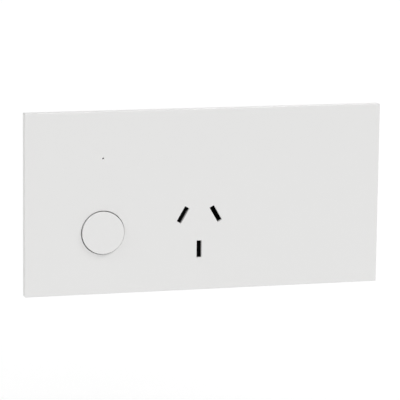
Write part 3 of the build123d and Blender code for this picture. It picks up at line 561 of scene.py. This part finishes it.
nickel = metal(
    "nickel_plate", (0.70, 0.68, 0.64), (0.52, 0.50, 0.46), rough=0.28, lines=(3, 3, 3)
)
low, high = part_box("earth_terminal_screw")
length = high.y - low.y
terminal_screw = turned(
    "terminal_screw",
    headed_outline(
        length,
        tip=(1.25e-3, 0.3e-3),
        core=core,
        head=(2.75e-3, 2.0e-3, 0.1e-3),
        crown=((2.75e-3, 0.4e-3), (2.65e-3, 0.15e-3), (2.4e-3, 0), (2.3e-3, 0)),
    ),
)
slots = crossed_slots(
    long_reach=3.0e-3, short_reach=1.65e-3, width=0.8e-3, face=length, depth=1.0e-3
)
combine(terminal_screw, slots, "DIFFERENCE")
ease_edges(terminal_screw, 0.05e-3)
ridge = thread_ridge(**MACHINE_THREAD, start=0.9e-3, end=length - 2.8e-3)
combine(terminal_screw, ridge, "UNION")
for wire in ("active", "loop", "earth", "neutral"):
    settle(terminal_screw, f"{wire}_terminal_screw", nickel)
bpy.data.objects.remove(terminal_screw)


# Switch: a nylon plunger under the cap, a bronze lever with a silver contact, a bent latch wire
# and a coiled return spring.
nylon = moulded_plastic("nylon", (0.66, 0.64, 0.58), shine=0.55, cloud=0.06)[0]
dress(nylon, "button_plunger")
bronze = metal(
    "spring_bronze", (0.74, 0.46, 0.24), (0.52, 0.30, 0.15), rough=0.28, lines=(1, 5, 5)
)
dress(bronze, "contact_lever")
silver = metal(
    "contact_silver", (0.86, 0.85, 0.81), (0.62, 0.58, 0.50), rough=0.25, lines=(4, 4, 4)
)
dress(silver, "moving_tip", "fixed_tip")
dress(wire_steel, "latch_wire")
coil = wind("button_spring", along=1, wire=0.3e-3, turns=8)
fit_spring(coil, "button_spring", along=1, fixed=1, joint="button_press", material=wire_steel)
bpy.data.objects.remove(coil)
pin_steel = metal(
    "pin_steel", (0.62, 0.62, 0.63), (0.44, 0.44, 0.45), rough=0.24, lines=(5, 5, 0.5)
)
dress(pin_steel, "lever_pin")


# Lamp: a clear acrylic light pipe, moulded, which stands behind the pinhole, and a lamp cast in
# tinted epoxy round two tinned leads.
clear, shader, place = new_finish("clear_acrylic")
put(shader, "Base Color", (0.93, 0.95, 0.95, 1))
put(shader, "Roughness", 0.06 + spots(place, 700.0) * 0.05)
put(shader, "Transmission Weight", 0.85)
put(shader, "IOR", 1.49)
dress(clear, "light_pipe")


def component(place, number):
    """The distance along X, Y or Z, for a number of 0, 1 or 2."""
    return place.node("SeparateXYZ", {}, {"Vector": place}, out=number)


TINNED = (0.66, 0.66, 0.65, 1)
epoxy, shader, place = new_finish("lamp_epoxy")
board_low, board_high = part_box("lamp_board")
leads = component(place, 1) > board_low.y
tint = spots(place, 500.0).mix((0.78, 0.20, 0.07, 1), (0.86, 0.30, 0.12, 1))
put(shader, "Base Color", leads.mix(tint, TINNED))
put(shader, "Metallic", leads)
put(shader, "Roughness", 0.12 + leads * 0.16 + spots(place, 1500.0) * 0.06)
put(shader, "Transmission Weight", 0.35)
dress(epoxy, "lamp")


# Lamp board: a scrap of resin-bonded laminate with three copper tracks on its back. The lamp, its
# series resistor with its painted bands, and the two wires are soldered there by hand.
lamp_low, lamp_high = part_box("lamp")
lamp_x, lamp_z = (lamp_low.x + lamp_high.x) / 2, (lamp_low.z + lamp_high.z) / 2
resistor_low, resistor_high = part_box("lamp_resistor")
neutral_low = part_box("lamp_neutral_wire")[0]
LEAD_RADIUS, HALF_SPACING, WIRE_RADIUS, LAND = 0.25e-3, 1.27e-3, 0.6e-3, 0.8e-3
wire_x, wire_low, wire_high = neutral_low.x + WIRE_RADIUS, 7.6e-3, 9.6e-3
foot_low, foot_high = resistor_low.z + LEAD_RADIUS, resistor_high.z - LEAD_RADIUS
lead_left, lead_right = lamp_x - HALF_SPACING, lamp_x + HALF_SPACING
copper_face = board_high.y - 0.02e-3
# Two rectangles to a track, which overlap. Each has its left, right, lower and upper edge.
tracks = (
    (lead_left - 0.7e-3, lead_left + 0.5e-3, foot_high, lamp_z + LAND),
    (lead_left - 0.7e-3, lamp_x + LAND, foot_high - LAND, foot_high + LAND),
    (lamp_x - LAND, wire_x - 1.0e-3, wire_low - 0.5e-3, foot_low + 0.7e-3),
    (wire_x - 1.2e-3, wire_x + WIRE_RADIUS, wire_low - WIRE_RADIUS, wire_low + 0.5e-3),
    (lead_right - 0.5e-3, lead_right + LAND, wire_high + 0.5e-3, lamp_z + LAND),
    (lead_right - 0.2e-3, wire_x + WIRE_RADIUS, wire_high - WIRE_RADIUS, wire_high + 1.2e-3),
)
laminate, shader, place = new_finish("board_laminate")
warp = spots(place, 1400.0, detail=1.0, stretch=(1, 1, 8))
weft = spots(place, 1400.0, detail=1.0, stretch=(8, 1, 1))
weave = warp * 0.5 + weft * 0.5
across, upward = component(place, 0), component(place, 2)
copper = 0
for left_side, right_side, bottom, top in tracks:
    strip = across.between(left_side, right_side) * upward.between(bottom, top)
    copper = copper + strip - copper * strip
copper = copper * (component(place, 1) > copper_face)
bare = weave.mix((0.20, 0.15, 0.06, 1), (0.36, 0.28, 0.13, 1))
put(shader, "Base Color", copper.mix(bare, (0.62, 0.33, 0.18, 1)))
put(shader, "Metallic", copper)
put(shader, "Roughness", 0.42 + weave * 0.12 - copper * 0.12)
grain(shader, weave * 0.2 + copper, 3e-5)
dress(laminate, "lamp_board")

lacquer, shader, place = new_finish("resistor_lacquer")
body = spots(place, 900.0).mix((0.55, 0.44, 0.28, 1), (0.62, 0.51, 0.34, 1))
middle_z, half_body, half_band = (foot_low + foot_high) / 2, 1.8e-3, 0.16e-3
orange, red, black = (0.50, 0.26, 0.02, 1), (0.42, 0.03, 0.02, 1), (0.02, 0.02, 0.02, 1)
upright = component(place, 2)
for above, band_paint in ((1.2e-3, orange), (0.45e-3, red), (-0.3e-3, black)):
    band_z = middle_z + above
    band = upright.between(band_z - half_band, band_z + half_band)
    body = band.mix(body, band_paint)
leads = 1 - upright.between(middle_z - half_body, middle_z + half_body)
put(shader, "Base Color", leads.mix(body, TINNED))
put(shader, "Metallic", leads)
put(shader, "Roughness", 0.30 + spots(place, 1800.0) * 0.1)
dress(lacquer, "lamp_resistor")

solder = metal(
    "solder", (0.72, 0.72, 0.71), (0.50, 0.50, 0.50), rough=0.32, lines=(1, 1, 1), depth=4e-6
)
foot_radius, lead_grip, solder_height = 0.72e-3, 0.3e-3, 0.52e-3
hollow = ((0.68e-3, 0.06e-3), (0.45e-3, 0.18e-3), (0.33e-3, 0.38e-3))
outline = [(0, 0), (foot_radius, 0), *hollow, (lead_grip, 0.5e-3), (0, solder_height)]
fillet = turned("solder_fillet", outline, steps=24)
copies = []
for joint_x, joint_z in (
    (lead_left, lamp_z),
    (lead_right, lamp_z),
    (lamp_x, foot_low),
    (lamp_x, foot_high),
):
    copied = duplicate(fillet, "solder_joint")
    move(copied, (joint_x, copper_face, joint_z))
    copies.append(copied)
bpy.data.objects.remove(fillet)
solder_joints = join(copies, "solder_joints")
solder_joints.data.materials.append(solder)
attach(solder_joints, "base")


# Lamp wires: stranded copper in soft plastic insulation, blue from the lamp board to the neutral
# terminal and brown to the switched strip.
def insulation(name, colour):
    """Soft plastic insulation with a dull extruded skin."""
    return moulded_plastic(name, colour, shine=0.55, pores=2500.0, depth=5e-6, cloud=0.10)[0]


dress(insulation("blue_insulation", (0.03, 0.10, 0.36)), "lamp_neutral_wire")
dress(insulation("brown_insulation", (0.16, 0.065, 0.03)), "lamp_active_wire")


# Assembly screws: four zinc-plated pan heads with a coarse thread that forms its own groove in
# the grid's plastic pillars. They hold the lid and the housing to the grid.
low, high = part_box("assembly_screw_lower_left")
length = high.y - low.y
COARSE_THREAD = {"radius": 1.25e-3, "root": 0.95e-3, "pitch": 1.0e-3}
assembly_screw = turned(
    "assembly_screw",
    headed_outline(
        length,
        tip=(0.35e-3, 1.6e-3),
        core=COARSE_THREAD["root"],
        head=(2.2e-3, 1.2e-3, 0.1e-3),
        crown=((2.2e-3, 0.6e-3), (2.05e-3, 0.25e-3), (1.75e-3, 0.05e-3), (1.55e-3, 0)),
    ),
)
slots = crossed_slots(
    long_reach=1.4e-3, short_reach=1.4e-3, width=0.55e-3, face=length, depth=0.8e-3
)
combine(assembly_screw, slots, "DIFFERENCE")
ease_edges(assembly_screw, 0.04e-3)
ridge = thread_ridge(**COARSE_THREAD, start=2.2e-3, end=length - 2.6e-3)
combine(assembly_screw, ridge, "UNION")
for corner in ("lower_left", "lower_right", "upper_left", "upper_right"):
    settle(assembly_screw, f"assembly_screw_{corner}", zinc)
bpy.data.objects.remove(assembly_screw)


# Button cap and cover: white gloss plastic with a fine polished skin, from one colour batch.
# The cover snaps onto the grid, and the cap stands a little proud through its round hole.
white = moulded_plastic(
    "white_gloss", (0.760, 0.758, 0.752), shine=0.66, pores=2200.0, depth=1.5e-6, cloud=0.006
)[0]
dress(white, "cover", "button_cap")
